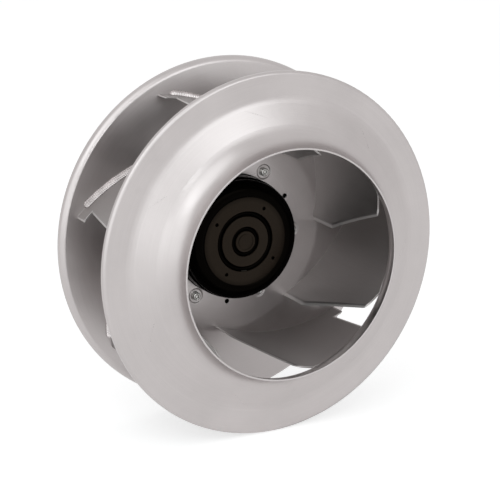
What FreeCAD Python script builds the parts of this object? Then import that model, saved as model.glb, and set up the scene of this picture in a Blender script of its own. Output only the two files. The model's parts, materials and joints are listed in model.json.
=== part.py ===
import FreeCAD, Part
import math
import os

# Plug fan: a welded sheet-metal impeller with backward-curved blades, carried by an
# external-rotor motor that is bolted up by its rear face.
# Millimetres. +Z is up, the inlet faces -Y and the origin is the centre of the motor's
# rear mounting face. Angles run from +X towards +Z, as seen from the inlet.

Vec = FreeCAD.Vector
ORIGIN = Vec(0, 0, 0)
AXIS = Vec(0, 1, 0)

# Clearances
weld_gap = 0.15
slip_fit = 0.03
screw_clearance = 0.3
seat_gap = 0.1
overshoot = 5.0
overlap = 1.0

# Motor housing, from the mounting face forwards
housing_depth = 63.5
housing_radius = 84.0
housing_wall = 5.0
housing_front_wall = 6.0
cavity_radius = 66.0
rear_ring_radius = 91.0
rear_ring_depth = 14.0
cover_recess_radius = 74.5
cover_recess_depth = 9.0
housing_edge_round = 2.0
hub_radius = 28.0
hub_length = 15.5
fin_count = 36
fin_thickness = 2.4
fin_tip_radius = 88.0

# Mounting holes in the rear ring, tapped M8
mount_circle_radius = 82.5
mount_hole_radius = 3.4
mount_hole_depth = 13.0
mount_hole_count = 4
mount_first_angle = 45.0

# Cable gland, screwed into a boss on the underside of the housing
gland_axis_y = -36.0
gland_boss_radius = 14.0
gland_boss_face = 97.0
gland_thread_radius = 10.0
gland_inner_end = 71.0
gland_hex_flats = 24.0
gland_hex_height = 6.0
gland_neck_radius = 9.0
gland_neck_length = 12.0
gland_bore_radius = 6.5
gland_cap_radius = 12.0
gland_cap_length = 15.0
gland_cap_lip = 3.0
gland_cap_mouth_radius = 5.5
cable_radius = 4.5

# Electronics cover, its gasket and screws
cover_thickness = 3.0
cover_dome_height = 2.2
cover_dome_radius = 58.0
cover_edge_gap = 0.3
cover_rib_count = 6
cover_rib_width = 3.0
cover_rib_height = 1.6
cover_rib_inner = 14.0
cover_rib_outer = 50.0
gasket_thickness = 1.0
gasket_inset = 0.5
cover_screw_circle = 70.2
cover_screw_count = 6
cover_screw_radius = 2.0
cover_screw_length = 8.0
cover_screw_head_radius = 3.5
cover_screw_head_height = 2.4

# Control board on its posts
board_radius = 62.0
board_hole_radius = 31.0
board_thickness = 1.6
board_stand_off = 17.5
board_post_radius = 4.0
board_post_circle = 52.0
board_post_count = 4
board_screw_radius = 1.5
board_screw_length = 7.0
board_screw_head_radius = 2.8
board_screw_head_height = 2.0
capacitor_radius = 9.0
capacitor_length = 18.0
capacitor_circle = 45.0
capacitor_count = 3
capacitor_pitch_angle = 28.0
capacitor_first_angle = 17.0

# Rotor bell
rotor_gap = 2.5
rotor_length = 69.0
rotor_radius = 78.3
rotor_nose_radius = 76.7
rotor_step_depth = 20.0
rotor_shoulder_depth = 14.2
rotor_shoulder_peak_radius = 62.6
rotor_face_radius = 56.8
rotor_face_depth = 1.4
rotor_wall = 5.3
rotor_front_wall = 7.0
rotor_flange_radius = 100.0
rotor_flange_thickness = 6.0
rotor_collar_height = 1.2
rotor_edge_round = 1.0
outer_groove_radius = 38.7
outer_groove_width = 6.2
outer_groove_depth = 5.2
inner_groove_radius = 19.1
inner_groove_width = 5.5
inner_groove_depth = 4.8
groove_edge_round = 0.6
boss_mark_radius = 10.6
boss_mark_width = 1.2
boss_mark_depth = 0.8
face_rise = 0.5
dimple_circle = 47.6
dimple_radius = 2.4
dimple_depth = 3.5
dimple_count = 4
dimple_first_angle = 56.2
rotor_hub_radius = 16.0
rotor_hub_length = 6.0
rotor_hub_nose_radius = 10.0
balance_clip_angle = 267.6
balance_clip_span_angle = 12.0
balance_clip_thickness = 1.2
balance_clip_height = 3.2

# Magnets on their flux ring
flux_ring_thickness = 3.8
flux_ring_length = 55.0
magnet_thickness = 4.0
magnet_length = 50.0
magnet_count = 10
magnet_split_angle = 2.0

# Shaft and bearings
shaft_radius = 7.5
shaft_seat_depth = 5.5
shaft_tail = 4.0
bearing_outer_radius = 17.5
bearing_inner_radius = 10.3
bearing_outer_bore = 14.7
bearing_width = 11.0
bearing_span = 70.0
ball_radius = 2.95
ball_clearance = 0.05
ball_count = 8
bearing_tube_radius = 21.5
bearing_shoulder_radius = 16.0
bearing_tube_lip = 2.0
spring_space = 2.5
spring_thickness = 0.6
spring_inner_radius = 15.2
spring_outer_radius = 17.2
circlip_radius = 10.0
circlip_groove_radius = 6.9
circlip_thickness = 1.2
circlip_opening_angle = 40.0

# Stator
air_gap = 0.9
stator_length = 44.0
stator_centre_y = -96.0
tooth_count = 12
tooth_width = 10.0
slot_inner_radius = 38.5
slot_outer_radius = 58.5
slot_opening = 2.6
insulator_thickness = 1.5
coil_thickness = 4.4
coil_inner_radius = 40.0
coil_outer_radius = 57.0
coil_corner_round = 3.0
coil_side_gap = 0.5

# Back plate, a dished disc with a rolled edge
plate_thickness = 2.5
plate_front_from_rotor_face = 42.8
plate_hole_gap = 0.7
plate_flat_radius = 128.0
plate_dish_angle = 8.5
plate_radius = 225.0
plate_roll_radius = 8.0
plate_lip_length = 9.0
plate_dish_round = 30.0
screw_circle_radius = 90.0
screw_count = 6
screw_first_angle = 57.05
screw_seat_radius = 10.0
screw_seat_floor_radius = 8.6
screw_seat_depth = 1.2
vent_circle_radius = 89.3
vent_radius = 3.2
screw_radius = 3.0
screw_length = 12.0
screw_head_radius = 5.4
screw_head_height = 4.0
screw_head_round = 1.2
screw_socket_radius = 2.6
screw_socket_depth = 2.2
washer_radius = 6.2
washer_thickness = 1.2

# Shroud: neck, flared cone and flat rim
shroud_thickness = 2.0
impeller_width = 119.8
throat_radius = 140.6
neck_length = 45.7
cone_outer_radius = 192.8
cone_angle = 23.0
neck_round = 36.0
cone_round = 24.0
shroud_radius = 226.0
rim_round = 4.0
rim_turn = 6.0

# Blades
blade_count = 7
blade_first_angle = 3.2
blade_thickness = 2.0
blade_inlet_radius = 122.2
blade_outlet_radius = 198.8
blade_inlet_angle = 15.6
blade_outlet_angle = 31.0
blade_straight_height = 49.3
blade_corner_radius = 134.6
blade_front_height = 28.5
blade_corner_round = 4.0
blade_rake_angle = 4.0
blade_tab_length = 7.5
blade_tab_height = 10.2
blade_end_margin = 6.0

# Weld beads along the outer side of each blade
bead_radius = 3.2
bead_offset = 1.6
plate_bead_inner_radius = 158.0
plate_bead_outer_radius = 198.0
shroud_bead_inner_radius = 168.0
shroud_bead_outer_radius = 188.0

# Stations along the axis
housing_front_y = -housing_depth
rotor_back_y = housing_front_y - rotor_gap
rotor_face_y = rotor_back_y - rotor_length
plate_y = rotor_face_y + plate_front_from_rotor_face
flange_y = plate_y + screw_seat_depth + plate_thickness
rim_y = plate_y - impeller_width
lip_y = rim_y - neck_length
cavity_y = housing_front_y + housing_front_wall
cover_seat_y = -cover_recess_depth
cover_y = cover_seat_y + gasket_thickness
cover_top_y = cover_y + cover_thickness
board_y = cavity_y + board_stand_off
rotor_inner_y = rotor_face_y + rotor_front_wall
hub_end_y = rotor_inner_y + rotor_hub_length
front_bearing_y = hub_end_y + bearing_tube_lip + 2 * spring_space
rear_bearing_y = front_bearing_y + bearing_span - bearing_width
magnet_radius = rotor_radius - rotor_wall - slip_fit - flux_ring_thickness
stator_radius = magnet_radius - slip_fit - magnet_thickness - air_gap

# Blade camber: one circular arc that meets the inlet and outlet circles at the blade angles
inlet_cosine = math.cos(math.radians(blade_inlet_angle))
outlet_cosine = math.cos(math.radians(blade_outlet_angle))
camber_radius = ((blade_outlet_radius ** 2 - blade_inlet_radius ** 2)
                 / (2 * (blade_outlet_radius * outlet_cosine - blade_inlet_radius * inlet_cosine)))
camber_offset = math.sqrt(camber_radius ** 2 + blade_inlet_radius ** 2
                          - 2 * camber_radius * blade_inlet_radius * inlet_cosine)


# Helpers

def polar(radius, degrees, y):
    angle = math.radians(degrees)
    return Vec(radius * math.cos(angle), y, radius * math.sin(angle))


def spin(shape, degrees):
    turned = shape.copy()
    turned.rotate(ORIGIN, AXIS, -degrees)
    return turned


def around(shape, count, first=0.0):
    return [spin(shape, first + 360.0 * step / count) for step in range(count)]


def line(start, end):
    return Part.LineSegment(start, end).toShape()


def corner_arc(before, corner, after, radius):
    """Entry, middle and exit of a fillet between two straight runs."""
    back = (before - corner).normalize()
    ahead = (after - corner).normalize()
    half = back.getAngle(ahead) / 2
    reach = radius / math.tan(half)
    bisector = (back + ahead).normalize()
    middle = corner + bisector * (radius / math.sin(half) - radius)
    return corner + back * reach, middle, corner + ahead * reach


def path(corners, closed=False):
    """Edges through (radius, y, fillet) corners in the half plane beside the axis."""
    points = [Vec(radius, y, 0) for radius, y, _ in corners]
    last = len(points) - 1
    stops = []
    for index, point in enumerate(points):
        fillet = corners[index][2]
        if fillet and (closed or 0 < index < last):
            after = points[(index + 1) % len(points)]
            stops.append(corner_arc(points[index - 1], point, after, fillet))
        else:
            stops.append((point, None, point))
    edges = []
    for index, (enter, middle, leave) in enumerate(stops):
        if middle:
            edges.append(Part.Arc(enter, middle, leave).toShape())
        if closed or index < last:
            edges.append(line(leave, stops[(index + 1) % len(stops)][0]))
    return edges


def shifted(corners, distance):
    """The same open path moved to its left, with its fillets kept concentric."""
    points = [Vec(radius, y, 0) for radius, y, _ in corners]
    runs = [(end - start).normalize() for start, end in zip(points, points[1:])]
    normals = [Vec(-run.y, run.x, 0) for run in runs]
    moved = []
    for index, point in enumerate(points):
        before = normals[max(index - 1, 0)]
        after = normals[min(index, len(normals) - 1)]
        mitre = (before + after) / (1 + before.dot(after))
        turn = before.cross(after).z
        fillet = corners[index][2]
        if fillet:
            fillet -= math.copysign(distance, turn)
        place = point + mitre * distance
        moved.append((place.x, place.y, fillet))
    return moved


def turned(face_edges):
    return Part.Face(Part.Wire(face_edges)).revolve(ORIGIN, AXIS, 360)


def lathe(*corners):
    return turned(path(corners, closed=True))


def sheet(corners, thickness):
    """A spun sheet: the path is its front face and the thickness lies to its left."""
    back = shifted(corners, thickness)
    front_edges = path(corners)
    back_edges = path(back[::-1])
    front_end = Vec(corners[-1][0], corners[-1][1], 0)
    front_start = Vec(corners[0][0], corners[0][1], 0)
    back_end = Vec(back[-1][0], back[-1][1], 0)
    back_start = Vec(back[0][0], back[0][1], 0)
    return turned(front_edges + [line(front_end, back_end)]
                  + back_edges + [line(back_start, front_start)])


def tube(inner, outer, start_y, end_y):
    return lathe((inner, start_y, 0), (outer, start_y, 0), (outer, end_y, 0), (inner, end_y, 0))


def rod(radius, start_y, end_y, centre=ORIGIN):
    foot = Vec(centre.x, start_y, centre.z)
    return Part.makeCylinder(radius, end_y - start_y, foot, AXIS)


def rods(radius, start_y, end_y, circle, count, first):
    single = rod(radius, start_y, end_y, polar(circle, 0, 0))
    return around(single, count, first)


def cone(start_radius, end_radius, start_y, end_y, centre):
    foot = Vec(centre.x, start_y, centre.z)
    return Part.makeCone(start_radius, end_radius, end_y - start_y, foot, AXIS)


def block(x_range, y_range, z_range):
    size = [high - low for low, high in (x_range, y_range, z_range)]
    return Part.makeBox(*size, Vec(x_range[0], y_range[0], z_range[0]))


def group(shapes):
    return Part.makeCompound(shapes)


# Impeller

def shroud_corners():
    neck = throat_radius + shroud_thickness
    cone_y = rim_y - (cone_outer_radius - neck) * math.tan(math.radians(cone_angle))
    return [(neck, lip_y, 0), (neck, cone_y, neck_round), (cone_outer_radius, rim_y, cone_round),
            (shroud_radius, rim_y, rim_round), (shroud_radius, rim_y + rim_turn, 0)]


def plate_surface_y(radius):
    return plate_y + (radius - plate_flat_radius) * math.tan(math.radians(plate_dish_angle))


def plate_corners():
    edge_y = plate_surface_y(plate_radius)
    return [(rotor_radius + plate_hole_gap, plate_y, 0), (plate_flat_radius, plate_y, plate_dish_round),
            (plate_radius, edge_y, plate_roll_radius), (plate_radius, edge_y + plate_lip_length, 0)]


def make_shroud():
    return sheet(shroud_corners(), shroud_thickness)


def make_back_plate():
    """Dished disc, pressed in at each screw so that only the pressed seats touch the rotor."""
    plate = sheet(plate_corners(), plate_thickness)
    seat = polar(screw_circle_radius, 0, 0)
    floor_y = plate_y + screw_seat_depth
    press = cone(screw_seat_radius, screw_seat_floor_radius, plate_y, floor_y, seat)
    pad = press.copy()
    pad.translate(AXIS * plate_thickness)
    bolt = rod(screw_radius + screw_clearance, plate_y, flange_y, seat)
    vents = rods(vent_radius, plate_y, flange_y, vent_circle_radius, screw_count,
                 screw_first_angle + 180.0 / screw_count)
    plate = plate.fuse(around(pad, screw_count, screw_first_angle))
    plate = plate.cut(around(press, screw_count, screw_first_angle))
    return plate.cut(around(bolt, screw_count, screw_first_angle) + vents)


def camber_angle(radius, arc_radius):
    """Angle, from the leading edge, at which an arc about the camber centre has this radius."""
    def at_centre(point_radius, curve_radius):
        cosine = ((point_radius ** 2 + camber_offset ** 2 - curve_radius ** 2)
                  / (2 * point_radius * camber_offset))
        return math.degrees(math.acos(cosine))
    return at_centre(blade_inlet_radius, camber_radius) - at_centre(radius, arc_radius)


def camber_centre():
    centre_angle = camber_angle(blade_inlet_radius, camber_radius)
    inlet = ((blade_inlet_radius ** 2 + camber_offset ** 2 - camber_radius ** 2)
             / (2 * blade_inlet_radius * camber_offset))
    return polar(camber_offset, centre_angle + math.degrees(math.acos(inlet)), 0)


def blade_slab():
    """Curved sheet of the blade's thickness that runs past both ends and both sides."""
    centre = camber_centre()
    leading = polar(blade_inlet_radius, 0, 0) - centre
    trailing_angle = camber_angle(blade_outlet_radius, camber_radius)
    trailing = polar(blade_outlet_radius, trailing_angle, 0) - centre
    start = math.degrees(math.atan2(leading.z, leading.x)) - blade_end_margin
    end = math.degrees(math.atan2(trailing.z, trailing.x)) + blade_end_margin
    middle = (start + end) / 2
    inner = camber_radius - blade_thickness / 2
    outer = camber_radius + blade_thickness / 2
    low = centre + AXIS * (lip_y - overshoot)
    inner_points = [low + polar(inner, angle, 0) for angle in (start, middle, end)]
    outer_points = [low + polar(outer, angle, 0) for angle in (start, middle, end)]
    edges = [Part.Arc(*inner_points).toShape(), line(inner_points[2], outer_points[2]),
             Part.Arc(*outer_points[::-1]).toShape(), line(outer_points[0], inner_points[0])]
    return Part.Face(Part.Wire(edges)).extrude(AXIS * (-lip_y))


def flow_region():
    """Half section of the passage between the shroud and the back plate."""
    front = shifted(shroud_corners(), shroud_thickness + weld_gap)[:-1]
    back = shifted(plate_corners(), -weld_gap)[:-1]
    bore = rotor_radius + plate_hole_gap
    corners = front + back[::-1] + [(bore, lip_y, 0)]
    return Part.Face(Part.Wire(path(corners, closed=True)))


def blade_region():
    """Half section of a blade, trimmed to the shroud and to the back plate."""
    tab_radius = blade_outlet_radius + blade_tab_length
    tab_y = plate_y - blade_tab_height
    front_edge_y = rim_y - blade_front_height
    tip_radius = blade_outlet_radius + (tab_y - front_edge_y) * math.tan(math.radians(blade_rake_angle))
    far_back = plate_surface_y(tab_radius) + overshoot
    outline = [(blade_inlet_radius, far_back, 0),
               (blade_inlet_radius, plate_y - blade_straight_height, 0),
               (blade_corner_radius, front_edge_y, blade_corner_round),
               (tip_radius, front_edge_y, 0),
               (blade_outlet_radius, tab_y, 0),
               (tab_radius, tab_y, 0),
               (tab_radius, far_back, 0)]
    return flow_region().common(Part.Face(Part.Wire(path(outline, closed=True))))


def make_blade():
    section = blade_region().Faces[0]
    return blade_slab().common(section.revolve(ORIGIN, AXIS, 360)).Solids[0]


def make_bead(inner_radius, outer_radius, surface_y, side, carrier):
    """Fillet weld along a blade's outer side; side is +1 in front of its carrier."""
    arc_radius = camber_radius + blade_thickness / 2 + bead_offset
    points = []
    for radius in (inner_radius, (inner_radius + outer_radius) / 2, outer_radius):
        angle = camber_angle(radius, arc_radius)
        points.append(polar(radius, angle, surface_y(radius) - side * bead_offset))
    spine = Part.Arc(*points).toShape()
    direction = spine.tangentAt(spine.FirstParameter)
    section = Part.Face(Part.Wire(Part.Circle(points[0], direction, bead_radius).toShape()))
    sweep = math.degrees(spine.LastParameter - spine.FirstParameter)
    bead = section.revolve(spine.Curve.Center, spine.Curve.Axis, sweep)
    return bead.cut([blade_slab(), carrier])


def shroud_bead_y(radius):
    slope = math.radians(cone_angle)
    drop = (cone_outer_radius - radius) * math.tan(slope)
    return rim_y - drop + shroud_thickness / math.cos(slope)


# Rotor

def make_rotor_bell():
    face = rotor_face_y
    raised = face + face_rise
    groove_out = outer_groove_radius
    groove_in = outer_groove_radius - outer_groove_width
    boss = inner_groove_radius - inner_groove_width
    mark_in = boss_mark_radius - boss_mark_width
    shoulder_y = face + rotor_shoulder_depth
    step_y = face + rotor_step_depth
    step = rotor_radius - rotor_nose_radius
    inner = rotor_radius - rotor_wall
    collar = rotor_radius + rotor_collar_height
    collar_y = flange_y + rotor_flange_thickness
    small = groove_edge_round
    front = [(0, face, 0), (mark_in, face, 0), (mark_in, face + boss_mark_depth, 0),
             (boss_mark_radius, face + boss_mark_depth, 0), (boss_mark_radius, face, 0),
             (boss, face, small), (boss, face + inner_groove_depth, small),
             (inner_groove_radius, face + inner_groove_depth, small),
             (inner_groove_radius, face, small), (groove_in, raised, small),
             (groove_in, face + outer_groove_depth, small),
             (groove_out, face + outer_groove_depth, small), (groove_out, raised, small),
             (rotor_face_radius, face + rotor_face_depth, 0)]
    shoulder_start = Vec(rotor_face_radius, face + rotor_face_depth, 0)
    shoulder_peak = Vec(rotor_shoulder_peak_radius, face, 0)
    shoulder_end = Vec(rotor_nose_radius, shoulder_y, 0)
    outside = [(rotor_nose_radius, shoulder_y, 0), (rotor_nose_radius, step_y, 0),
               (rotor_radius, step_y + step, 0), (rotor_radius, collar_y, 0),
               (collar, collar_y, 0), (collar, rotor_back_y, rotor_edge_round), (inner, rotor_back_y, 0),
               (inner, rotor_inner_y, 0), (rotor_hub_radius, rotor_inner_y, 0),
               (rotor_hub_radius, hub_end_y, rotor_edge_round), (rotor_hub_nose_radius, hub_end_y, 0),
               (rotor_hub_nose_radius, front_bearing_y, 0), (shaft_radius + slip_fit, front_bearing_y, 0),
               (shaft_radius + slip_fit, face + shaft_seat_depth, 0), (0, face + shaft_seat_depth, 0)]
    shoulder = Part.Arc(shoulder_start, shoulder_peak, shoulder_end).toShape()
    closing = line(Vec(0, face + shaft_seat_depth, 0), Vec(0, face, 0))
    bell = turned(path(front) + [shoulder] + path(outside) + [closing])
    return bell.cut(rods(dimple_radius, face, face + dimple_depth, dimple_circle,
                         dimple_count, dimple_first_angle))


def make_rotor_flange():
    """Ring pressed onto the bell against its collar, tapped for the impeller's screws."""
    bore = rotor_radius + slip_fit
    back_y = flange_y + rotor_flange_thickness
    ring = lathe((bore, flange_y, 0), (rotor_flange_radius, flange_y, rotor_edge_round),
                 (rotor_flange_radius, back_y, rotor_edge_round), (bore, back_y, 0))
    return ring.cut(rods(screw_radius + slip_fit, flange_y, back_y, screw_circle_radius,
                         screw_count, screw_first_angle))


def sector(inner, outer, start_y, end_y, span, middle_angle):
    """Part of a ring, centred on an angle."""
    half = span / 2
    inner_points = [polar(inner, angle, start_y) for angle in (-half, 0, half)]
    outer_points = [polar(outer, angle, start_y) for angle in (-half, 0, half)]
    edges = [Part.Arc(*inner_points).toShape(), line(inner_points[2], outer_points[2]),
             Part.Arc(*outer_points[::-1]).toShape(), line(outer_points[0], inner_points[0])]
    solid = Part.Face(Part.Wire(edges)).extrude(AXIS * (end_y - start_y))
    return spin(solid, middle_angle)


def make_balance_clip():
    outer = outer_groove_radius - seat_gap
    floor_y = rotor_face_y + outer_groove_depth - groove_edge_round
    return sector(outer - balance_clip_thickness, outer, floor_y - balance_clip_height, floor_y,
                  balance_clip_span_angle, balance_clip_angle)


def make_flux_ring():
    outer = rotor_radius - rotor_wall - slip_fit
    start = rotor_inner_y + seat_gap
    return tube(outer - flux_ring_thickness, outer, start, start + flux_ring_length)


def make_magnets():
    outer = magnet_radius - slip_fit
    start = stator_centre_y - magnet_length / 2
    span = 360.0 / magnet_count - magnet_split_angle
    single = sector(outer - magnet_thickness, outer, start, start + magnet_length, span, 0)
    return group(around(single, magnet_count))


def make_shaft():
    """Ground shaft with a groove for its retaining ring."""
    groove_y = rear_bearing_y + bearing_width
    groove_end = groove_y + circlip_thickness + seat_gap
    end_y = groove_end + shaft_tail
    chamfer = shaft_radius - circlip_groove_radius
    return lathe((0, rotor_face_y + shaft_seat_depth, 0), (shaft_radius, rotor_face_y + shaft_seat_depth, 0),
                 (shaft_radius, groove_y, 0), (circlip_groove_radius, groove_y, 0),
                 (circlip_groove_radius, groove_end, 0), (shaft_radius, groove_end, 0),
                 (shaft_radius, end_y - chamfer, 0), (circlip_groove_radius, end_y, 0), (0, end_y, 0))


def make_circlip():
    start = rear_bearing_y + bearing_width
    return sector(circlip_groove_radius + slip_fit, circlip_radius, start, start + circlip_thickness,
                  -circlip_opening_angle % 360, 0)


def make_impeller_screw():
    """Socket screw, seated on its washer."""
    seat_y = plate_y + screw_seat_depth - washer_thickness
    top_y = seat_y - screw_head_height
    body = lathe((0, top_y, 0), (screw_head_radius, top_y, screw_head_round),
                 (screw_head_radius, seat_y, 0), (screw_radius, seat_y, 0),
                 (screw_radius, seat_y + screw_length, 0), (0, seat_y + screw_length, 0))
    socket = Part.makePolygon([polar(screw_socket_radius, 60 * side, top_y) for side in range(7)])
    screw = body.cut(Part.Face(socket).extrude(AXIS * screw_socket_depth))
    screw.translate(polar(screw_circle_radius, 0, 0))
    return screw


def make_washer():
    floor_y = plate_y + screw_seat_depth
    washer = tube(screw_radius + slip_fit, washer_radius, floor_y - washer_thickness, floor_y)
    washer.translate(polar(screw_circle_radius, 0, 0))
    return washer


# Bearings

def make_inner_race(start_y):
    centre = (bearing_inner_radius + bearing_outer_bore) / 2
    ring = tube(shaft_radius + slip_fit, bearing_inner_radius, start_y, start_y + bearing_width)
    return ring.cut(ball_track(centre, start_y))


def ball_track(centre, start_y):
    middle = Vec(0, start_y + bearing_width / 2, 0)
    return Part.makeTorus(centre, ball_radius + ball_clearance, middle, AXIS)


def make_outer_race(start_y):
    centre = (bearing_inner_radius + bearing_outer_bore) / 2
    ring = tube(bearing_outer_bore, bearing_outer_radius - slip_fit, start_y, start_y + bearing_width)
    return ring.cut(ball_track(centre, start_y))


def make_balls(start_y):
    centre = (bearing_inner_radius + bearing_outer_bore) / 2
    ball = Part.makeSphere(ball_radius, polar(centre, 0, start_y + bearing_width / 2))
    return group(around(ball, ball_count))


def make_bearing_tube():
    """Turned tube with a shoulder for the front bearing and room for the preload spring."""
    start = front_bearing_y - bearing_tube_lip
    front_shoulder = front_bearing_y + bearing_width
    rear_shoulder = rear_bearing_y - spring_space
    end = rear_bearing_y + bearing_width
    return lathe((bearing_outer_radius, start, 0), (bearing_tube_radius, start, 0),
                 (bearing_tube_radius, end, 0), (bearing_outer_radius, end, 0),
                 (bearing_outer_radius, rear_shoulder, 0), (bearing_shoulder_radius, rear_shoulder, 0),
                 (bearing_shoulder_radius, front_shoulder, 0), (bearing_outer_radius, front_shoulder, 0))


def make_preload_spring():
    """Disc spring: a shallow cone between the tube's shoulder and the rear bearing."""
    low = rear_bearing_y - spring_space + seat_gap
    high = rear_bearing_y - seat_gap
    return lathe((spring_inner_radius, low, 0), (spring_inner_radius, low + spring_thickness, 0),
                 (spring_outer_radius, high, 0), (spring_outer_radius, high - spring_thickness, 0))


# Stator

def tooth_bars(width, inner, outer, start_y, end_y):
    bar = block((inner, outer), (start_y, end_y), (-width / 2, width / 2))
    return around(bar, tooth_count)


def make_stator_core():
    start = stator_centre_y - stator_length / 2
    end = stator_centre_y + stator_length / 2
    yoke = tube(bearing_tube_radius + slip_fit, slot_inner_radius, start, end)
    tips = tube(slot_outer_radius, stator_radius, start, end)
    opening = block((slot_outer_radius - overshoot, stator_radius + overshoot), (start, end),
                    (-slot_opening / 2, slot_opening / 2))
    tips = tips.cut(around(opening, tooth_count, 180.0 / tooth_count))
    teeth = tooth_bars(tooth_width, slot_inner_radius - overlap, slot_outer_radius + overlap, start, end)
    return yoke.fuse(teeth + [tips]).removeSplitter()


def make_insulator(start_y):
    end_y = start_y + insulator_thickness
    ring = tube(bearing_tube_radius + seat_gap, slot_inner_radius, start_y, end_y)
    arms = tooth_bars(tooth_width, slot_inner_radius - overlap, slot_outer_radius, start_y, end_y)
    return ring.fuse(arms).removeSplitter()


def rounded_rectangle(x, half_y, half_z, corner):
    """Rectangle with rounded corners in a plane of constant x, about the stator's centre."""
    knots = []
    for sign_y, sign_z, first in ((1, 1, 0), (-1, 1, 90), (-1, -1, 180), (1, -1, 270)):
        centre = Vec(x, stator_centre_y + sign_y * (half_y - corner), sign_z * (half_z - corner))
        points = []
        for turn in (0, 45, 90):
            angle = math.radians(first + turn)
            points.append(centre + Vec(0, corner * math.cos(angle), corner * math.sin(angle)))
        knots.append(points)
    edges = []
    for index, points in enumerate(knots):
        edges.append(Part.Arc(*points).toShape())
        edges.append(line(points[2], knots[(index + 1) % 4][0]))
    return Part.Face(Part.Wire(edges))


def make_windings():
    inner_y = stator_length / 2 + insulator_thickness + seat_gap
    inner_z = tooth_width / 2 + coil_side_gap
    depth = Vec(coil_outer_radius - coil_inner_radius, 0, 0)
    outside = rounded_rectangle(coil_inner_radius, inner_y + coil_thickness, inner_z + coil_thickness,
                                coil_corner_round)
    inside = rounded_rectangle(coil_inner_radius, inner_y, inner_z, coil_side_gap / 2)
    coil = outside.cut(inside).Faces[0].extrude(depth)
    return group(around(coil, tooth_count))


# Motor housing

def make_stator_housing():
    """Die casting: front disc, finned barrel, rear mounting ring and cable boss."""
    front = housing_front_y
    barrel = cavity_radius + housing_wall
    ring_y = -rear_ring_depth
    hub_bore = bearing_tube_radius + slip_fit
    body = lathe((hub_bore, front, 0), (housing_radius, front, housing_edge_round),
                 (housing_radius, cavity_y, housing_edge_round), (barrel, cavity_y, 0),
                 (barrel, ring_y, 0), (rear_ring_radius, ring_y, housing_edge_round),
                 (rear_ring_radius, 0, housing_edge_round), (cover_recess_radius, 0, 0),
                 (cover_recess_radius, cover_seat_y, 0), (cavity_radius, cover_seat_y, 0),
                 (cavity_radius, cavity_y, 0), (hub_radius, cavity_y, 0),
                 (hub_radius, front + hub_length, 0), (hub_bore, front + hub_length, 0))
    fin = block((barrel - overlap, fin_tip_radius), (cavity_y - housing_edge_round, ring_y + overlap),
                (-fin_thickness / 2, fin_thickness / 2))
    down = Vec(0, 0, -1)
    boss_start = cavity_radius + overlap
    boss = Part.makeCylinder(gland_boss_radius, gland_boss_face - boss_start,
                             Vec(0, gland_axis_y, -boss_start), down)
    posts = rods(board_post_radius, cavity_y - overlap, board_y, board_post_circle, board_post_count, 0)
    body = body.fuse(around(fin, fin_count) + [boss] + posts)
    thread = Part.makeCylinder(gland_thread_radius + slip_fit, gland_boss_face,
                               Vec(0, gland_axis_y, -cavity_radius + overshoot), down)
    mount_holes = rods(mount_hole_radius, -mount_hole_depth, 0, mount_circle_radius,
                       mount_hole_count, mount_first_angle)
    cover_holes = rods(cover_screw_radius + slip_fit, cover_top_y - cover_screw_length, cover_seat_y,
                       cover_screw_circle, cover_screw_count, 0)
    board_holes = rods(board_screw_radius + slip_fit, board_y + board_thickness - board_screw_length,
                       board_y, board_post_circle, board_post_count, 0)
    return body.cut([thread] + mount_holes + cover_holes + board_holes)


def make_gasket():
    ring = tube(cavity_radius + gasket_inset, cover_recess_radius - gasket_inset, cover_seat_y, cover_y)
    return ring.cut(rods(cover_screw_radius + screw_clearance, cover_seat_y, cover_y,
                         cover_screw_circle, cover_screw_count, 0))


def make_electronics_cover():
    """Shallow dished lid with ribs, kept below the mounting face."""
    edge = cover_recess_radius - cover_edge_gap
    dome_y = cover_top_y + cover_dome_height
    slope_radius = cover_dome_radius + cover_dome_height
    lid = lathe((0, cover_y, 0), (edge, cover_y, 0), (edge, cover_top_y, 0),
                (slope_radius, cover_top_y, 0), (cover_dome_radius, dome_y, 0), (0, dome_y, 0))
    rib = block((cover_rib_inner, cover_rib_outer), (dome_y - overlap, dome_y + cover_rib_height),
                (-cover_rib_width / 2, cover_rib_width / 2))
    lid = lid.fuse(around(rib, cover_rib_count))
    return lid.cut(rods(cover_screw_radius + screw_clearance, cover_y, cover_top_y,
                        cover_screw_circle, cover_screw_count, 0))


def make_small_screws(radius, length, head_radius, head_height, seat_y, circle, count):
    """Cylinder-head screws that enter along -Y, as a group."""
    single = rod(radius, seat_y - length, seat_y).fuse(rod(head_radius, seat_y, seat_y + head_height))
    single.translate(polar(circle, 0, 0))
    return group(around(single.removeSplitter(), count))


def make_control_board():
    board = tube(board_hole_radius, board_radius, board_y, board_y + board_thickness)
    return board.cut(rods(board_screw_radius + screw_clearance, board_y, board_y + board_thickness,
                          board_post_circle, board_post_count, 0))


def make_capacitors():
    start = board_y + board_thickness
    cans = []
    for index in range(capacitor_count):
        foot = polar(capacitor_circle, capacitor_first_angle + capacitor_pitch_angle * index, 0)
        cans.append(rod(capacitor_radius, start, start + capacitor_length, foot))
    return group(cans)


def along_gland(shape):
    """Places a shape that was turned about +Y on the gland's axis, pointing down."""
    placed = shape.copy()
    placed.rotate(ORIGIN, Vec(1, 0, 0), -90)
    placed.translate(Vec(0, gland_axis_y, 0))
    return placed


def make_gland_body():
    hex_end = gland_boss_face + gland_hex_height
    neck_end = hex_end + gland_neck_length
    corner = gland_hex_flats / math.sqrt(3)
    outline = Part.makePolygon([polar(corner, 60 * side, gland_boss_face) for side in range(7)])
    hexagon = Part.Face(outline).extrude(AXIS * gland_hex_height)
    shank = rod(gland_thread_radius, gland_inner_end, gland_boss_face)
    neck = rod(gland_neck_radius, hex_end, neck_end)
    bore = rod(gland_bore_radius, gland_inner_end, neck_end)
    return along_gland(hexagon.fuse([shank, neck]).cut(bore))


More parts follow.
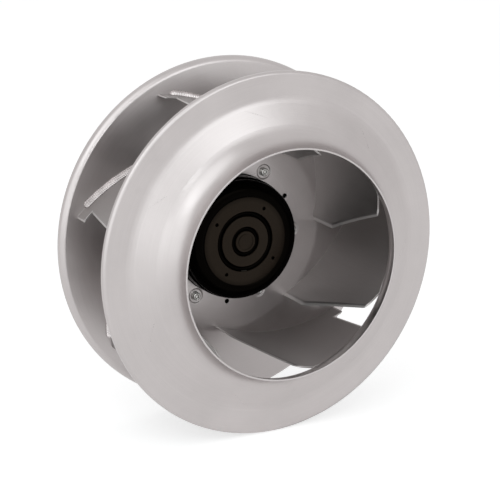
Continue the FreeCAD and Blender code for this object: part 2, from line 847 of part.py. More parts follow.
def make_gland_seal():
    """Rubber sleeve in the gland's neck that grips the cable."""
    start = gland_boss_face
    end = gland_boss_face + gland_hex_height + gland_neck_length
    return along_gland(tube(cable_radius, gland_bore_radius - slip_fit, start, end))


def make_gland_cap():
    start = gland_boss_face + gland_hex_height + seat_gap
    end = start + gland_cap_length
    inner_end = end - gland_cap_lip
    return along_gland(lathe((gland_neck_radius + slip_fit, start, 0), (gland_cap_radius, start, 0),
                             (gland_cap_radius, end, gland_cap_lip), (gland_cap_mouth_radius, end, 0),
                             (gland_cap_mouth_radius, inner_end, 0),
                             (gland_neck_radius + slip_fit, inner_end, 0)))


def assembly():
    shroud = make_shroud()
    back_plate = make_back_plate()
    blade = make_blade()
    plate_bead = make_bead(plate_bead_inner_radius, plate_bead_outer_radius, plate_surface_y, 1, back_plate)
    shroud_bead = make_bead(shroud_bead_inner_radius, shroud_bead_outer_radius, shroud_bead_y, -1, shroud)
    core_start = stator_centre_y - stator_length / 2
    core_end = stator_centre_y + stator_length / 2
    nodes = {
        "shroud": shroud,
        "back_plate": back_plate,
        "plate_welds": group(around(plate_bead, blade_count, blade_first_angle)),
        "shroud_welds": group(around(shroud_bead, blade_count, blade_first_angle)),
        "rotor_bell": make_rotor_bell(),
        "rotor_flange": make_rotor_flange(),
        "balance_clip": make_balance_clip(),
        "flux_ring": make_flux_ring(),
        "magnets": make_magnets(),
        "shaft": make_shaft(),
        "retaining_ring": make_circlip(),
        "impeller_screws": group(around(make_impeller_screw(), screw_count, screw_first_angle)),
        "screw_washers": group(around(make_washer(), screw_count, screw_first_angle)),
        "bearing_tube": make_bearing_tube(),
        "preload_spring": make_preload_spring(),
        "stator_core": make_stator_core(),
        "front_insulator": make_insulator(core_start - insulator_thickness),
        "rear_insulator": make_insulator(core_end),
        "windings": make_windings(),
        "stator_housing": make_stator_housing(),
        "control_board": make_control_board(),
        "board_screws": make_small_screws(board_screw_radius, board_screw_length, board_screw_head_radius,
                                          board_screw_head_height, board_y + board_thickness,
                                          board_post_circle, board_post_count),
        "capacitors": make_capacitors(),
        "cover_gasket": make_gasket(),
        "electronics_cover": make_electronics_cover(),
        "cover_screws": make_small_screws(cover_screw_radius, cover_screw_length, cover_screw_head_radius,
                                          cover_screw_head_height, cover_top_y,
                                          cover_screw_circle, cover_screw_count),
        "gland_body": make_gland_body(),
        "gland_seal": make_gland_seal(),
        "gland_cap": make_gland_cap(),
    }
    for index, shape in enumerate(around(blade, blade_count, blade_first_angle)):
        nodes[f"blade_{index + 1}"] = shape
    for place, start in (("front", front_bearing_y), ("rear", rear_bearing_y)):
        nodes[f"{place}_inner_race"] = make_inner_race(start)
        nodes[f"{place}_outer_race"] = make_outer_race(start)
        nodes[f"{place}_bearing_balls"] = make_balls(start)
    return nodes


os.makedirs("parts", exist_ok=True)
for name, shape in assembly().items():
    shape.exportStep(f"parts/{name}.step")
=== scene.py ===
import json
import math

import bmesh
import bpy
from mathutils import Matrix, Vector


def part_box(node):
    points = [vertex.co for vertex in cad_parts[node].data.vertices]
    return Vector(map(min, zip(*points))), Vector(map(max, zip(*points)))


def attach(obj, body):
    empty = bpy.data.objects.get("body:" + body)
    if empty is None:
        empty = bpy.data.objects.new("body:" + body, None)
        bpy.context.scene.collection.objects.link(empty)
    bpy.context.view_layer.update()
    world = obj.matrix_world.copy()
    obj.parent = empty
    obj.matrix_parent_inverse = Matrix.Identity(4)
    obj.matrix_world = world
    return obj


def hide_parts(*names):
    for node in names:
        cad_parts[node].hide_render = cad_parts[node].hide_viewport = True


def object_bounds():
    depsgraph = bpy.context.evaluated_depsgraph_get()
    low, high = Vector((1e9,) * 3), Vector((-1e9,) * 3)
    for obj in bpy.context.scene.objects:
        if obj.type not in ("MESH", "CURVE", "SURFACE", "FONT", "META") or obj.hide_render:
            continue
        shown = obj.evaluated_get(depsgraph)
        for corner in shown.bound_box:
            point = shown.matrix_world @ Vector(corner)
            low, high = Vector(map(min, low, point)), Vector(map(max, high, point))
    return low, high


# Plug fan: satin aluminium impeller on a black external-rotor motor.
# Metres. The shaft lies along Y, the inlet faces -Y and +Z is up.

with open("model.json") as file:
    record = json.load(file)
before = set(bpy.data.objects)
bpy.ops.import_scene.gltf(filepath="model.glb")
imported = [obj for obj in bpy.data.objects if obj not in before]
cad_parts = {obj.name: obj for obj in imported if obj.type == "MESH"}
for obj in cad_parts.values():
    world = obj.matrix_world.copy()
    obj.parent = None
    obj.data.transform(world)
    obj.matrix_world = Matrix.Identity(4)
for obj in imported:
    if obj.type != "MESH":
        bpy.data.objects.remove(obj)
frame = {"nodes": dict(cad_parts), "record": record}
cad_low, cad_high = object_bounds()


# Main stations and radii, read from the frame

def low_y(node):
    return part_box(node)[0].y


def high_y(node):
    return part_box(node)[1].y


plate_y = low_y("back_plate")
rotor_face_y = low_y("rotor_bell")
rim_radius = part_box("shroud")[1].x
rim_turn = 0.006
rim_plane_y = high_y("shroud") - rim_turn


# Camera

image_width = 500
focal_pixels = 1600
sensor_width = 36.0
near_clip = 0.01
camera_azimuth = math.radians(-28.15)
camera_elevation = math.radians(15.97)

# Where the camera sees the rim's centre, in rim radii
sight_right = 0.1369
sight_down = 0.0377
sight_depth = 8.557


def make_camera():
    """Looks at the rim's centre from the distance that the photograph's circles give."""
    sin_a, cos_a = math.sin(camera_azimuth), math.cos(camera_azimuth)
    sin_e, cos_e = math.sin(camera_elevation), math.cos(camera_elevation)
    back = Vector((sin_a * cos_e, -cos_a * cos_e, sin_e))
    right = Vector((cos_a, sin_a, 0))
    up = back.cross(right)
    rim_centre = Vector((0, rim_plane_y, 0))
    offset = right * sight_right - up * sight_down - back * sight_depth
    camera = bpy.data.objects.new("camera", bpy.data.cameras.new("camera"))
    camera.data.sensor_width = sensor_width
    camera.data.lens = sensor_width * focal_pixels / image_width
    camera.data.clip_start = near_clip
    camera.location = rim_centre - offset * rim_radius
    camera.rotation_mode = "QUATERNION"
    camera.rotation_quaternion = (-back).to_track_quat("-Z", "Y")
    bpy.context.collection.objects.link(camera)
    bpy.context.scene.camera = camera


# Node helpers

WHITE = (1, 1, 1)
FIRST_COLOR, SECOND_COLOR, MIXED_COLOR = 6, 7, 2  # sockets of the Mix node
spin_line_lean = 0.7
bevel_samples = 4
thin_samples = 6
thin_reach = 1.6
thin_from, thin_to = 0.55, 0.9
stain_from, stain_to = 0.62, 0.74


def scaled(color, factor):
    return tuple(factor * part for part in color)


class Tree:
    """Short calls for the nodes and links of a material or of the world."""

    def __init__(self, tree):
        self.nodes = tree.nodes
        self.links = tree.links

    def node(self, kind, **settings):
        node = self.nodes.new(kind)
        for key, value in settings.items():
            setattr(node, key, value)
        return node

    def feed(self, node, socket, source):
        """Links an output to a node's socket, or sets the socket to a number or a colour."""
        if isinstance(source, bpy.types.NodeSocket):
            self.links.new(source, node.inputs[socket])
        elif isinstance(source, tuple):
            node.inputs[socket].default_value = (*source, 1)
        else:
            node.inputs[socket].default_value = source

    def math(self, operation, first, second=0.0):
        node = self.node("ShaderNodeMath", operation=operation)
        self.feed(node, 0, first)
        self.feed(node, 1, second)
        return node.outputs[0]

    def add(self, first, second):
        return self.math("ADD", first, second)

    def times(self, first, second):
        return self.math("MULTIPLY", first, second)

    def seen_directly(self):
        """1 for rays from the camera, from a reflection and through glass, otherwise 0."""
        rays = self.node("ShaderNodeLightPath").outputs
        seen = self.math("MAXIMUM", rays["Is Camera Ray"], rays["Is Glossy Ray"])
        return self.math("MAXIMUM", seen, rays["Is Transmission Ray"])


class Finish(Tree):
    """A procedural material: its shader, its coordinates, its textures and its mixes."""

    def __init__(self, name, color, metallic, roughness):
        self.material = bpy.data.materials.new(name)
        self.material.use_nodes = True
        super().__init__(self.material.node_tree)
        self.shader = self.nodes["Principled BSDF"]
        self.set("Base Color", color)
        self.set("Metallic", metallic)
        self.set("Roughness", roughness)

    def set(self, socket, source):
        self.feed(self.shader, socket, source)

    def here(self):
        """The surface's point in metres, in the object's own frame."""
        return self.node("ShaderNodeTexCoord").outputs["Object"]

    def place(self):
        """The same point as its X, Y and Z."""
        split = self.node("ShaderNodeSeparateXYZ")
        self.feed(split, 0, self.here())
        return tuple(split.outputs)

    def vector(self, *parts):
        node = self.node("ShaderNodeCombineXYZ")
        for socket, source in enumerate(parts):
            self.feed(node, socket, source)
        return node.outputs[0]

    def radius(self):
        x, _, z = self.place()
        return self.math("SQRT", self.add(self.times(x, x), self.times(z, z)))

    def stretched(self, *scales):
        return self.vector(*(self.times(part, scale) for part, scale in zip(self.place(), scales)))

    def rings(self, across, along):
        """Coordinates that vary fast across the spin lines and slowly along them."""
        x, y, z = self.place()
        radius = self.radius()
        fast = self.times(self.add(radius, self.times(y, spin_line_lean)), across)
        slow_x = self.times(self.math("DIVIDE", x, radius), along)
        slow_z = self.times(self.math("DIVIDE", z, radius), along)
        return self.vector(fast, slow_x, slow_z)

    def noise(self, vector, scale=1.0, detail=4.0, roughness=0.55):
        node = self.node("ShaderNodeTexNoise")
        self.feed(node, "Vector", vector)
        self.feed(node, "Scale", scale)
        self.feed(node, "Detail", detail)
        self.feed(node, "Roughness", roughness)
        return node.outputs[0]

    def stains(self, scale):
        """Sparse smudges: 0 on most of the surface and 1 where it was handled."""
        cloud = self.noise(self.here(), scale=scale, detail=6.0, roughness=0.7)
        return self.spread(cloud, 0.0, 1.0, stain_from, stain_to)

    def spread(self, source, low, high, from_low=0.3, from_high=0.7):
        """Maps a texture's usual range, or the range given, to low..high."""
        node = self.node("ShaderNodeMapRange")
        for socket, value in enumerate((source, from_low, from_high, low, high)):
            self.feed(node, socket, value)
        return node.outputs[0]

    def mix(self, factor, first, second):
        node = self.node("ShaderNodeMix", data_type="RGBA")
        self.feed(node, "Factor", factor)
        self.feed(node, FIRST_COLOR, first)
        self.feed(node, SECOND_COLOR, second)
        return node.outputs[MIXED_COLOR]

    def bump(self, height, distance, under=None):
        node = self.node("ShaderNodeBump")
        self.feed(node, "Height", height)
        self.feed(node, "Distance", distance)
        if under:
            self.feed(node, "Normal", under)
        return node.outputs[0]

    def edges(self, reach):
        """Normals rounded over the sheet's edges, and 1 where the metal behind is thin."""
        rounded = self.node("ShaderNodeBevel", samples=bevel_samples)
        self.feed(rounded, "Radius", reach)
        depth = self.node("ShaderNodeAmbientOcclusion", samples=thin_samples, inside=True,
                          only_local=True)
        self.feed(depth, "Distance", thin_reach * reach)
        return rounded.outputs[0], self.spread(depth.outputs["AO"], 1.0, 0.0, thin_from, thin_to)


# Finishes of sheet and weld

SHEET_COLOR = (0.495, 0.462, 0.458)
# Painted shade: the blades are coloured darker than the other sheets to stand for the shade inside
# the impeller
BLADE_SHADED_COLOR = (0.305, 0.286, 0.281)
# Partly wear, partly painted highlight: the light grey of the sheets' thin edges
EDGE_WEAR_AND_GLINT_COLOR = (0.72, 0.69, 0.68)
edge_reach = 0.0009
edge_dulling = 0.6
grain_share = 0.45
grain_gloss = 0.02
grain_depth = 0.00002
speckle_depth = 0.000008
stain_strength = 0.35
stain_roughness = 0.08
weld_grit_depth = 0.00006


def sheet_finish(name, color, roughness, grain, wear_and_glint):
    """Satin aluminium sheet: grain lines, cloudy mottling, fine speckle, handling marks, and light
    thin edges that are partly wear and partly a painted highlight.
    """
    finish = Finish(name, color, 1.0, roughness)
    lines = grain(finish)
    cloud = finish.noise(finish.here(), scale=14.0, detail=6.0)
    speckle = finish.noise(finish.here(), scale=900.0, detail=2.0)
    stains = finish.stains(scale=9.0)

    tone = finish.add(finish.times(lines, grain_share), finish.times(cloud, 1 - grain_share))
    base = finish.mix(finish.spread(tone, 0.0, 1.0), scaled(color, 0.9), scaled(color, 1.06))
    base = finish.mix(finish.times(stains, stain_strength), base, scaled(color, 0.8))
    # Thin edges: partly bare sheared metal, partly a painted highlight; they turn light grey and
    # less metallic so that they show as bright lines
    rounded, edge = finish.edges(edge_reach)
    edge = finish.times(edge, wear_and_glint)
    finish.set("Base Color", finish.mix(edge, base, EDGE_WEAR_AND_GLINT_COLOR))
    finish.set("Metallic", finish.math("SUBTRACT", 1.0, finish.times(edge, edge_dulling)))

    gloss = finish.spread(cloud, roughness - 0.04, roughness + 0.05)
    gloss = finish.add(gloss, finish.spread(lines, -grain_gloss, grain_gloss))
    finish.set("Roughness", finish.add(gloss, finish.times(stains, stain_roughness)))
    speckled = finish.bump(speckle, speckle_depth, under=rounded)
    finish.set("Normal", finish.bump(lines, grain_depth, under=speckled))
    return finish.material


def spun_grain(finish):
    return finish.noise(finish.rings(across=2600.0, along=2.0), detail=3.0)


def rolled_grain(finish):
    return finish.noise(finish.stretched(1500.0, 30.0, 1500.0), detail=3.0)


def weld_finish(name, color, roughness):
    """Bright weld metal that turns dull and sooty in patches."""
    finish = Finish(name, color, 1.0, roughness)
    grit = finish.noise(finish.here(), scale=700.0)
    soot = finish.noise(finish.here(), scale=60.0)
    finish.set("Base Color", finish.mix(finish.spread(soot, 0.0, 0.8), color, scaled(color, 0.55)))
    finish.set("Roughness", finish.spread(grit, roughness - 0.07, roughness + 0.12))
    finish.set("Normal", finish.bump(grit, weld_grit_depth))
    return finish.material


# Finishes of paint

ENAMEL_BLACK = (0.0008, 0.0007, 0.0006)
# Painted sheen: the lighter grey given to the rotor's flat front
ENAMEL_FRONT_SHEEN = (0.0085, 0.0054, 0.0034)
ENAMEL_GLOSS_TINT = (1.0, 0.8, 0.62)
enamel_peel_depth = 0.000006
front_radius = 0.0562
front_fade = 0.001
sheen_depth = 0.0011
sheen_fade = 0.0007
shaded_gloss, front_gloss = 0.015, 0.15
HOUSING_BLACK = (0.016, 0.016, 0.016)
HOUSING_DUST = (0.022, 0.022, 0.022)
housing_peel_depth = 0.00006


def rotor_finish(name, roughness):
    """Black enamel with a painted sheen on its flat front, mottled lighter grey and glossier there,
    and painted shade around it: black and duller on the shoulder and in the grooves.
    """
    finish = Finish(name, ENAMEL_BLACK, 0.0, roughness)
    finish.set("Specular Tint", ENAMEL_GLOSS_TINT)
    _, y, _ = finish.place()
    peel = finish.noise(finish.here(), scale=420.0, detail=2.0)
    cloud = finish.noise(finish.here(), scale=45.0, detail=6.0)
    # Painted sheen and shade: the flat front near the axis, above the grooves' floors, gets a
    # mottled lighter grey and more gloss; the shoulder and the grooves stay black and dull as
    # painted shade
    near_axis = finish.spread(finish.radius(), 1.0, 0.0, front_radius, front_radius + front_fade)
    sheen_end = rotor_face_y + sheen_depth
    raised = finish.spread(y, 1.0, 0.0, sheen_end, sheen_end + sheen_fade)
    front = finish.times(near_axis, raised)
    dust = finish.times(front, finish.spread(cloud, 0.75, 1.0))
    finish.set("Base Color", finish.mix(dust, ENAMEL_BLACK, ENAMEL_FRONT_SHEEN))
    finish.set("Specular IOR Level", finish.spread(front, shaded_gloss, front_gloss, 0.0, 1.0))
    finish.set("Roughness", finish.spread(cloud, roughness - 0.03, roughness + 0.05))
    finish.set("Normal", finish.bump(peel, enamel_peel_depth))
    return finish.material


def housing_finish(name, roughness):
    """Paint over a casting: a pebbled skin, cloudy gloss and a trace of settled dust."""
    finish = Finish(name, HOUSING_BLACK, 0.0, roughness)
    peel = finish.noise(finish.here(), scale=900.0, detail=2.0)
    cloud = finish.noise(finish.here(), scale=25.0, detail=5.0)
    dust = finish.spread(cloud, 0.0, 1.0, 0.4, 0.75)
    finish.set("Base Color", finish.mix(dust, HOUSING_BLACK, HOUSING_DUST))
    finish.set("Roughness", finish.spread(cloud, roughness - 0.05, roughness + 0.08))
    finish.set("Normal", finish.bump(peel, housing_peel_depth))
    return finish.material


# Finishes of small pieces

tumbled_depth = 0.000006
grit_depth = 0.00001
rubber_grit_depth = 0.00003


def plated_finish(name, color, roughness):
    """Zinc plating: brushed by the tumbler, with faint milky patches."""
    finish = Finish(name, color, 1.0, roughness)
    cloud = finish.noise(finish.here(), scale=260.0, detail=5.0)
    fine = finish.noise(finish.here(), scale=1800.0, detail=2.0)
    finish.set("Base Color", finish.mix(finish.spread(cloud, 0.0, 1.0), color, scaled(color, 0.78)))
    finish.set("Roughness", finish.spread(cloud, roughness - 0.06, roughness + 0.12))
    finish.set("Normal", finish.bump(fine, tumbled_depth))
    return finish.material


def plain(name, color, metallic, roughness, scale=120.0, depth=grit_depth):
    """Cloudy colour and gloss over a fine grit."""
    finish = Finish(name, color, metallic, roughness)
    cloud = finish.noise(finish.here(), scale=scale)
    grit = finish.noise(finish.here(), scale=10.0 * scale, detail=2.0)
    finish.set("Roughness", finish.spread(cloud, roughness - 0.06, roughness + 0.06))
    finish.set("Base Color", finish.mix(finish.spread(cloud, 0.0, 1.0), scaled(color, 0.8), color))
    finish.set("Normal", finish.bump(grit, depth))
    return finish.material


def rubbery(name, color, roughness):
    return plain(name, color, 0.0, roughness, scale=300.0, depth=rubber_grit_depth)


SLOT_FINISHES = {
    "impeller_sheet": sheet_finish("spun_aluminium", SHEET_COLOR, 0.33, spun_grain, wear_and_glint=0.3),
    # The blades' darker colour is painted shade
    "blade_sheet": sheet_finish("rolled_aluminium", BLADE_SHADED_COLOR, 0.46, rolled_grain, wear_and_glint=0.55),
    "weld_bead": weld_finish("weld_metal", (0.70, 0.655, 0.65), 0.27),
    "rotor_paint": rotor_finish("rotor_paint", 0.14),
    "housing_paint": housing_finish("housing_paint", 0.42),
    "bright_steel": plated_finish("zinc_steel", (0.66, 0.65, 0.63), 0.27),
    "ground_steel": plain("ground_steel", (0.6, 0.6, 0.6), 1.0, 0.3),
    "spring_steel": plain("spring_steel", (0.02, 0.018, 0.016), 1.0, 0.3),
    "lamination_steel": plain("lamination_steel", (0.4, 0.4, 0.42), 1.0, 0.45),
    "magnet": plain("magnet", (0.08, 0.08, 0.085), 0.6, 0.5),
    "copper": plain("copper", (0.6, 0.25, 0.1), 1.0, 0.3),
    "insulation": plain("insulation", (0.7, 0.66, 0.55), 0.0, 0.5),
    "board": plain("board", (0.01, 0.1, 0.04), 0.0, 0.35),
    "capacitor_sleeve": plain("capacitor_sleeve", (0.02, 0.02, 0.03), 0.0, 0.3),
    "rubber_seal": rubbery("rubber_seal", (0.015, 0.015, 0.015), 0.7),
    "gland_plastic": rubbery("gland_plastic", (0.025, 0.025, 0.025), 0.5),
}


def finish_frame():
    """Gives each CAD node the finish of its material slot."""
    slots = {part["node"]: part["material_slot"] for part in frame["record"]["subparts"]}
    for name, node in frame["nodes"].items():
        node.data.materials.clear()
        node.data.materials.append(SLOT_FINISHES[slots[name]])


# Mesh helpers

def mesh_object(name, mesh):
    thing = bpy.data.objects.new(name, mesh)
    bpy.context.collection.objects.link(thing)
    return thing


def polar(radius, degrees, y=0.0):
    angle = math.radians(degrees)
    return Vector((radius * math.cos(angle), y, radius * math.sin(angle)))


def turn(degrees):
    """Rotation about the shaft's axis, counter-clockwise as seen from the inlet."""
    return Matrix.Rotation(math.radians(-degrees), 4, "Y")


def skin(mesh, rings, closed_ends=True):
    """Adds a tube of quads through rings of points; its ends are closed by one face each."""
    loops = [[mesh.verts.new(point) for point in ring] for ring in rings]
    count = len(loops[0])
    for first, second in zip(loops, loops[1:]):
        for index in range(count):
            after = (index + 1) % count
            mesh.faces.new((first[index], first[after], second[after], second[index]))
    if closed_ends:
        mesh.faces.new(loops[0][::-1])
        mesh.faces.new(loops[-1])


def placed(place, rings):
    return [[place @ point for point in ring] for ring in rings]


def finished(name, mesh, slot, body, *nodes):
    """Turns a bmesh into a smooth-shaded piece that rides on a body and replaces CAD nodes."""
    bmesh.ops.recalc_face_normals(mesh, faces=mesh.faces)
    data = bpy.data.meshes.new(name)
    mesh.to_mesh(data)
    mesh.free()
    data.materials.append(SLOT_FINISHES[slot])
    for polygon in data.polygons:
        polygon.use_smooth = True
    piece = mesh_object(name, data)
    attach(piece, body)
    if nodes:
        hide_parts(*nodes)


# Blades and sheets, with the same sizes as the CAD

blade_count = 7
blade_first_angle = 3.2
blade_thickness = 0.002
blade_inlet_radius = 0.1222
blade_outlet_radius = 0.1988
inlet_cosine = math.cos(math.radians(15.6))
outlet_cosine = math.cos(math.radians(31.0))
camber_radius = ((blade_outlet_radius ** 2 - blade_inlet_radius ** 2)
                 / (2 * (blade_outlet_radius * outlet_cosine - blade_inlet_radius * inlet_cosine)))
camber_offset = math.sqrt(camber_radius ** 2 + blade_inlet_radius ** 2
                          - 2 * camber_radius * blade_inlet_radius * inlet_cosine)
outer_face_radius = camber_radius + blade_thickness / 2
plate_flat_radius = 0.128
plate_dish_angle = math.radians(8.5)
cone_outer_radius = 0.1928
cone_angle = math.radians(23.0)
shroud_thickness = 0.002


def angle_at_centre(radius, curve_radius):
    """Angle between the camber's centre and where a curve around it meets a circle."""
    cosine = (radius ** 2 + camber_offset ** 2 - curve_radius ** 2) / (2 * radius * camber_offset)
    return math.degrees(math.acos(cosine))


camber_angle = angle_at_centre(blade_inlet_radius, camber_radius)
camber_centre = polar(camber_offset, camber_angle)


def outer_face_point(radius, y):
    """Where the outer face of the blade with its leading edge at angle 0 meets a circle."""
    return polar(radius, camber_angle - angle_at_centre(radius, outer_face_radius), y)


def plate_surface(radius):
    return plate_y + max(0.0, radius - plate_flat_radius) * math.tan(plate_dish_angle)


def shroud_surface(radius):
    drop = (cone_outer_radius - radius) * math.tan(cone_angle)
    return rim_plane_y - drop + shroud_thickness / math.cos(cone_angle)


# Weld beads

plate_bead_span = (0.158, 0.1998)
shroud_bead_span = (0.168, 0.188)
bead_leg = 0.0060
bead_root_depth = 0.0002
bead_hollow = 0.175
bead_crown = 0.56
bead_step = 0.00035
bead_taper = 0.005
bead_end_size = 0.04
bead_arc_points = 10
bead_phase_step = 1.7
ripple_pitch = 0.0024
ripple_height = 0.0009
ripple_lag = 0.0016
swell_height = 0.0125
swell_rate = 310.0


def bead_reach(arc_share, travel, end, phase):
    """How far the bead stands out of its corner, at a share of the arc from blade to sheet."""
    angle = arc_share * math.pi / 2
    middle = math.sin(arc_share * math.pi)
    size = bead_leg * math.sqrt(max(bead_end_size, end * (2 - end)))
    swell = swell_height * math.sin(swell_rate * travel + phase)
    size *= 1 - bead_hollow * (1 - middle) * middle + swell
    lag = ripple_lag * (1 - middle)
    ripple = ripple_height * math.cos(2 * math.pi * (travel + lag) / ripple_pitch + phase)
    straight = 1 / (math.cos(angle) + math.sin(angle))
    return (size + middle * end * ripple) * (straight + (1 - straight) * bead_crown)


def bead_rings(span, surface, side, phase):
    """Rings of a rippled fillet weld between a blade and the -Y (side 1) or +Y face of a sheet."""
    inner_radius, outer_radius = span
    length = (outer_face_point(outer_radius, 0) - outer_face_point(inner_radius, 0)).length
    steps = int(length / bead_step)
    rings = []
    for step in range(steps + 1):
        share = step / steps
        radius = inner_radius + (outer_radius - inner_radius) * share
        root, ahead, behind = (outer_face_point(near, surface(near))
                               for near in (radius, radius + bead_step, radius - bead_step))
        along = (ahead - behind).normalized()
        outwards = (Vector((root.x, 0, root.z)) - camber_centre).normalized()
        inwards = along.cross(outwards).normalized()
        if inwards.y * side > 0:
            inwards.negate()
        travel = share * length
        end = min(1.0, travel / bead_taper, (length - travel) / bead_taper)
        ring = [root - (outwards + inwards) * bead_root_depth]
        for index in range(bead_arc_points + 1):
            arc_share = index / bead_arc_points
            angle = arc_share * math.pi / 2
            towards = outwards * math.cos(angle) + inwards * math.sin(angle)
            ring.append(root + towards * bead_reach(arc_share, travel, end, phase))
        rings.append(ring)
    return rings


def make_beads(name, node, span, surface, side):
    mesh = bmesh.new()
    for index in range(blade_count):
        place = turn(blade_first_angle + 360.0 * index / blade_count)
        skin(mesh, placed(place, bead_rings(span, surface, side, bead_phase_step * index)))
    finished(name, mesh, "weld_bead", "rotor", node)


# Grooves of the rotor, with the same sizes as the CAD

outer_groove = {"outer_radius": 0.0387, "width": 0.0062, "depth": 0.0052, "enamel_depth": 0.0011}
inner_groove = {"outer_radius": 0.0191, "width": 0.0055, "depth": 0.0048, "enamel_depth": 0.0008}
groove_segments = 240
groove_points = 18
enamel_gap = 0.00005
enamel_floor = 0.0002
merge_distance = 0.000001


def make_groove_enamel(name, outer_radius, width, depth, enamel_depth):
    """Enamel that has run into a groove's corners and leaves it round at the bottom."""
    half = width / 2 - enamel_gap
    middle = outer_radius - width / 2
    top = rotor_face_y + enamel_depth
    floor_y = rotor_face_y + depth - enamel_gap
    reach = floor_y - enamel_floor - top
    section = [(middle - half, top), (middle - half, floor_y),
               (middle + half, floor_y), (middle + half, top)]
    for index in range(1, groove_points):
        angle = math.pi * index / groove_points
        section.append((middle + half * math.cos(angle), top + reach * math.sin(angle)))
    rings = [[polar(radius, 360.0 * side / groove_segments, y) for radius, y in section]
             for side in range(groove_segments)]
    mesh = bmesh.new()
    skin(mesh, rings + rings[:1], closed_ends=False)
    bmesh.ops.remove_doubles(mesh, verts=mesh.verts, dist=merge_distance)
    finished(name, mesh, "rotor_paint", "rotor")


# Screws: pan heads with a six-lobed recess

impeller_screw = {"head_radius": 0.0054, "head_height": 0.0038, "socket_radius": 0.0026,
                  "socket_depth": 0.0024, "shank_radius": 0.003, "length": 0.0118, "pitch": 0.001}
impeller_screw_circle = 0.090
impeller_screw_angle = 57.05
cover_screw = {"head_radius": 0.0035, "head_height": 0.0024, "socket_radius": 0.0016,
               "socket_depth": 0.0015, "shank_radius": 0.002, "length": 0.0078, "pitch": 0.0007}
cover_screw_circle = 0.0702
cover_screw_angle = 0.0
screws_in_circle = 6
screw_segments = 72
recess_lobes = 6
wrench_start = 11.0
wrench_step = 23.0

# Shares of the socket's radius, of the head's radius and height, and of the shank's radius
lobe_share = 0.16
floor_share, floor_lobe_share = 0.3, 0.2
wall_share, mouth_share = 0.96, 1.06
mouth_drop_share = 0.08
head_flat_share = 0.72
head_arc_shares = (0.0, 0.35, 0.65, 0.85, 1.0)
head_arc_height_share = 0.45
head_foot_share = 0.02
thread_root_share = 0.86
thread_height_share = 0.13
thread_steps_per_turn = 8


def screw_ring(y, radius, lobe=0.0):
    ring = []
    for side in range(screw_segments):
        degrees = 360.0 * side / screw_segments
        wave = lobe * math.cos(recess_lobes * math.radians(degrees))
        ring.append(polar(radius + wave, degrees, y))
    return ring


def thread_ring(y, shank_radius, length, pitch):
    fade = min(1.0, (length - y) / pitch)
    ring = []
    for side in range(screw_segments):
        share = side / screw_segments
        ramp = abs(2 * ((y / pitch + share) % 1.0) - 1)
        radius = shank_radius * (thread_root_share + thread_height_share * ramp * fade)
        ring.append(polar(radius, 360.0 * share, y))
    return ring


def screw_rings(head_radius, head_height, socket_radius, socket_depth, shank_radius, length, pitch):
    """A screw that points along +Y, with its head's seat at y = 0."""
    top = -head_height
    lobe = lobe_share * socket_radius
    floor_y = top + socket_depth
    rings = [screw_ring(floor_y, floor_share * socket_radius, floor_lobe_share * lobe),
             screw_ring(floor_y, wall_share * socket_radius, lobe),
             screw_ring(top + mouth_drop_share * head_height, socket_radius, lobe),
             screw_ring(top, mouth_share * socket_radius, lobe)]
    for share in head_arc_shares:
        bend = share * math.pi / 2
        edge = head_radius * (head_flat_share + (1 - head_flat_share) * math.sin(bend))
        drop = head_arc_height_share * head_height * (1 - math.cos(bend))
        rings.append(screw_ring(top + drop, edge))
    rings.append(screw_ring(-head_foot_share * head_height, head_radius))
    rings.append(screw_ring(0.0, (1 - head_foot_share) * head_radius))
    rings.append(screw_ring(0.0, shank_radius))
    steps = int(length / pitch * thread_steps_per_turn)
    for step in range(steps + 1):
        rings.append(thread_ring(length * step / steps, shank_radius, length, pitch))
    return rings


def make_screws(name, node, body, circle, first_angle, seat_y, flip, screw):
    """A circle of screws whose heads sit on seat_y, each left by the wrench at its own angle."""
    rings = screw_rings(**screw)
    mesh = bmesh.new()
    for index in range(screws_in_circle):
        angle = first_angle + 360.0 * index / screws_in_circle
        wrench = math.radians(wrench_step * index * index + wrench_start)
        place = (Matrix.Translation(polar(circle, angle, seat_y)) @ flip
                 @ Matrix.Rotation(wrench, 4, "Y"))
        skin(mesh, placed(place, rings))
    finished(name, mesh, "bright_steel", body, node)


def make_all_screws():
    ahead, backwards = Matrix.Identity(4), Matrix.Rotation(math.pi, 4, "X")
    make_screws("impeller_screw_set", "impeller_screws", "rotor", impeller_screw_circle,
                impeller_screw_angle, low_y("screw_washers"), ahead, impeller_screw)
    cover_seat_y = high_y("cover_screws") - cover_screw["head_height"]
    make_screws("cover_screw_set", "cover_screws", "stator", cover_screw_circle,
                cover_screw_angle, cover_seat_y, backwards, cover_screw)


# Stage

ambient_strength = 0.6
backdrop_strength = 1.0
floor_glow = 0.64
floor_color = (0.6, 0.6, 0.6)
floor_roughness = 0.9
floor_reach = 8.0
floor_gap = 0.001
lamp_distance = 2.6
lamp_color = (0.94, 1.0, 1.01)

# Each lamp's direction from the part, half angle in degrees and radiance
LAMPS = {
    "key": ((0.19, -0.88, 0.43), 16, 1.4),
    "left": ((-0.87, -0.42, 0.12), 36, 0.65),
    "front": ((-0.32, -0.91, -0.2), 25, 0.7),
    "top": ((-0.52, -0.40, 0.75), 24, 0.9),
    "spark": ((-0.28, -0.85, 0.44), 5, 3.5),
}


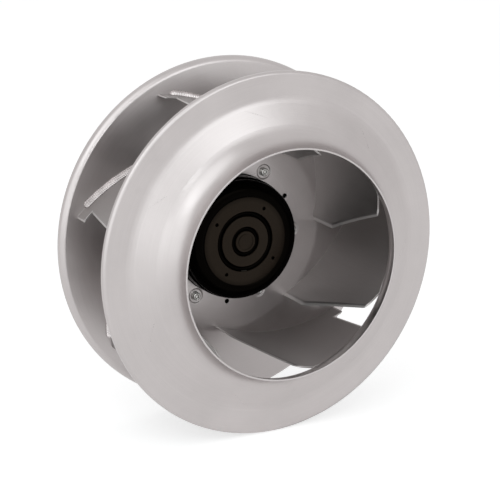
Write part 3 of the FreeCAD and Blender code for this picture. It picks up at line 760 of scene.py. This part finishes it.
def make_floor():
    """Pale floor below the impeller; where it is seen it is as white as the backdrop."""
    level = cad_low.z - floor_gap
    mesh = bpy.data.meshes.new("floor")
    mesh.from_pydata([(-floor_reach, -floor_reach, level), (floor_reach, -floor_reach, level),
                      (floor_reach, floor_reach, level), (-floor_reach, floor_reach, level)],
                     [], [(0, 1, 2, 3)])
    finish = Finish("floor_paint", floor_color, 0.0, floor_roughness)
    finish.set("Specular IOR Level", 0.0)
    finish.set("Emission Color", WHITE)
    finish.set("Emission Strength", finish.times(finish.seen_directly(), floor_glow))
    mesh.materials.append(finish.material)
    floor = mesh_object("floor", mesh)


def make_world():
    """Even light from all around, and white where the world is seen or mirrored."""
    world = bpy.data.worlds.new("studio")
    bpy.context.scene.world = world
    world.use_nodes = True
    tree = Tree(world.node_tree)
    ambient = tree.nodes["Background"]
    backdrop = tree.node("ShaderNodeBackground")
    for shader, strength in ((ambient, ambient_strength), (backdrop, backdrop_strength)):
        tree.feed(shader, "Color", WHITE)
        tree.feed(shader, "Strength", strength)
    choice = tree.node("ShaderNodeMixShader")
    tree.feed(choice, 0, tree.seen_directly())
    tree.feed(choice, 1, ambient.outputs[0])
    tree.feed(choice, 2, backdrop.outputs[0])
    tree.feed(tree.nodes["World Output"], "Surface", choice.outputs[0])


def make_lamp(name, direction, half_angle, radiance):
    """A round soft light that looks at the part's middle and shows this radiance."""
    size = 2 * lamp_distance * math.tan(math.radians(half_angle))
    area = math.pi * size ** 2 / 4
    lamp = bpy.data.lights.new(name, "AREA")
    lamp.shape = "DISK"
    lamp.size = size
    lamp.energy = radiance * math.pi * area
    lamp.color = lamp_color
    thing = bpy.data.objects.new(name, lamp)
    towards = Vector(direction).normalized()
    thing.location = Vector((0, plate_y, 0)) + towards * lamp_distance
    thing.rotation_mode = "QUATERNION"
    thing.rotation_quaternion = towards.to_track_quat("Z", "Y")
    bpy.context.collection.objects.link(thing)


make_camera()
finish_frame()
make_beads("plate_weld_beads", "plate_welds", plate_bead_span, plate_surface, 1)
make_beads("shroud_weld_beads", "shroud_welds", shroud_bead_span, shroud_surface, -1)
make_groove_enamel("outer_groove_enamel", **outer_groove)
make_groove_enamel("inner_groove_enamel", **inner_groove)
make_all_screws()
make_floor()
make_world()
for lamp_name, settings in LAMPS.items():
    make_lamp(lamp_name, *settings)

bpy.context.scene.view_settings.view_transform = "Standard"
